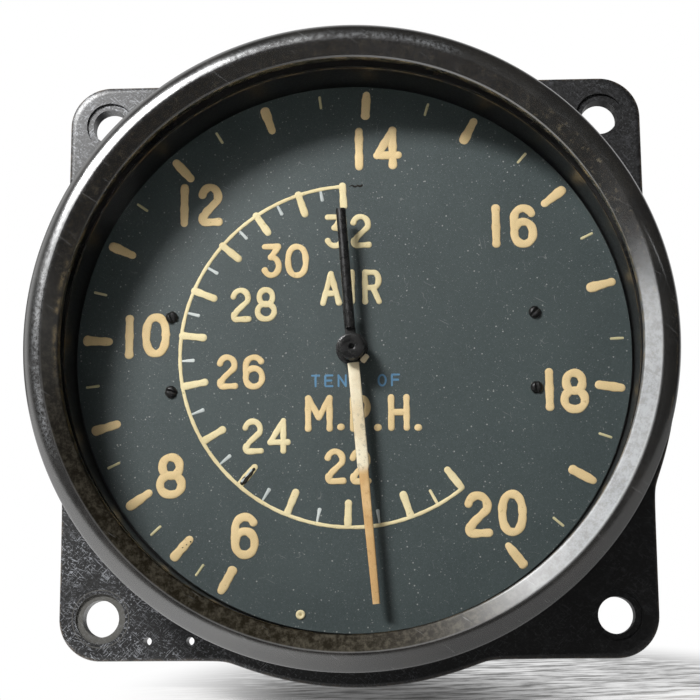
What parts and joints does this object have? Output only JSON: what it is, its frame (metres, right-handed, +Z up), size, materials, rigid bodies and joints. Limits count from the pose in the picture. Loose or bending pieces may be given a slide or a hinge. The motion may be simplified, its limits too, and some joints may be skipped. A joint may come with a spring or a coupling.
{
  "type": "airspeed indicator",
  "caption": "Panel-mounted airspeed indicator with a black flanged case, bezel ring, glass, two-turn dial, pointer, gear train, rocking shaft, pressure capsule and rear pipe unions.",
  "frame": {"origin": "centre of the front face of the square flange, on the dial axis", "axes": "+X to the pilot's right, +Y into the panel along the dial axis, +Z up the dial"},
  "size_m": [0.087, 0.0986, 0.087],
  "materials": {
    "case_black": "worn black phenolic moulding",
    "bezel_black": "glossy black, worn brown and pale along the crest",
    "glass": "clear",
    "rubber": "matte",
    "dial_grey": "matte slate grey paint with dust and scratches",
    "mark_paint": "aged cream luminous paint",
    "black_steel": "blackened",
    "pointer_paint": "aged cream and orange brown luminous paint",
    "pointer_black": "satin black",
    "steel": "ground",
    "blued_steel": "blued",
    "brass": "fine turned",
    "capsule_bronze": "pressed sheet",
    "copper": "drawn tube",
    "union_brass": "dull turned",
    "fibre": "red fibre"
  },
  "bodies": {
    "case_body": {"case": "case_black", "bezel_ring": "bezel_black", "glass": "glass", "glass_gasket": "rubber", "dial": "dial_grey", "scale_marks": "mark_paint", "dial_screws": "black_steel", "hairspring": "blued_steel", "hairspring_stud": "brass", "front_plate": "brass", "back_plate": "brass", "plate_pillars": "brass", "pillar_screws": "steel", "frame_posts": "brass", "movement_screws": "brass", "shaft_bracket": "brass", "bracket_screws": "steel", "capsule_front": "capsule_bronze", "capsule_rear": "capsule_bronze", "capsule_pillar": "brass", "pressure_tube": "copper", "pitot_union": "union_brass", "static_union": "union_brass", "union_washers": "fibre", "union_nuts": "union_brass"},
    "pointer_assembly": {"pointer": "pointer_paint", "pointer_tail": "pointer_black", "pointer_hub": "pointer_black", "pointer_arbor": "steel", "hairspring_collet": "brass"},
    "intermediate_assembly": {"intermediate_wheel": "brass", "intermediate_arbor": "steel"},
    "sector_assembly": {"sector_gear": "brass", "sector_arbor": "steel", "sector_pin": "steel"},
    "rocker_assembly": {"rocking_shaft": "steel", "capsule_arm": "brass", "drive_arm": "brass"},
    "capsule_centre": {"capsule_boss": "steel"}
  },
  "joints": [
    {"name": "pointer_spin", "type": "hinge", "parent": "case_body", "child": "pointer_assembly", "pos_m": [0, 0, 0], "axis": [0, 1, 0], "range_deg": [0, 542], "stiffness_Nm_per_rad": 0.0003, "springref_deg": -34.38, "deforming": ["hairspring"]},
    {"name": "wheel_spin", "type": "hinge", "parent": "case_body", "child": "intermediate_assembly", "pos_m": [-0.00267, 0, 0.00797], "axis": [0, 1, 0], "range_deg": [-221, 4.2]},
    {"name": "sector_rock", "type": "hinge", "parent": "case_body", "child": "sector_assembly", "pos_m": [-0.008, 0, 0.0239], "axis": [0, 1, 0], "range_deg": [-0.7, 36.9]},
    {"name": "shaft_rock", "type": "hinge", "parent": "case_body", "child": "rocker_assembly", "pos_m": [-0.00693, 0.0252, 0], "axis": [0, 0, -1], "range_deg": [-0.45, 23.2]},
    {"name": "capsule_lift", "type": "slide", "parent": "case_body", "child": "capsule_centre", "axis": [0, -1, 0], "range_m": [-0.00006, 0.0028], "deforming": ["capsule_front"]}
  ],
  "couplings": [
    {"joint": "wheel_spin", "follows": "pointer_spin", "ratio": -0.4},
    {"joint": "sector_rock", "follows": "pointer_spin", "ratio": 0.066667},
    {"joint": "shaft_rock", "follows": "pointer_spin", "ratio": 0.04196},
    {"joint": "capsule_lift", "follows": "pointer_spin", "m_per_rad": 0.000289}
  ]
}
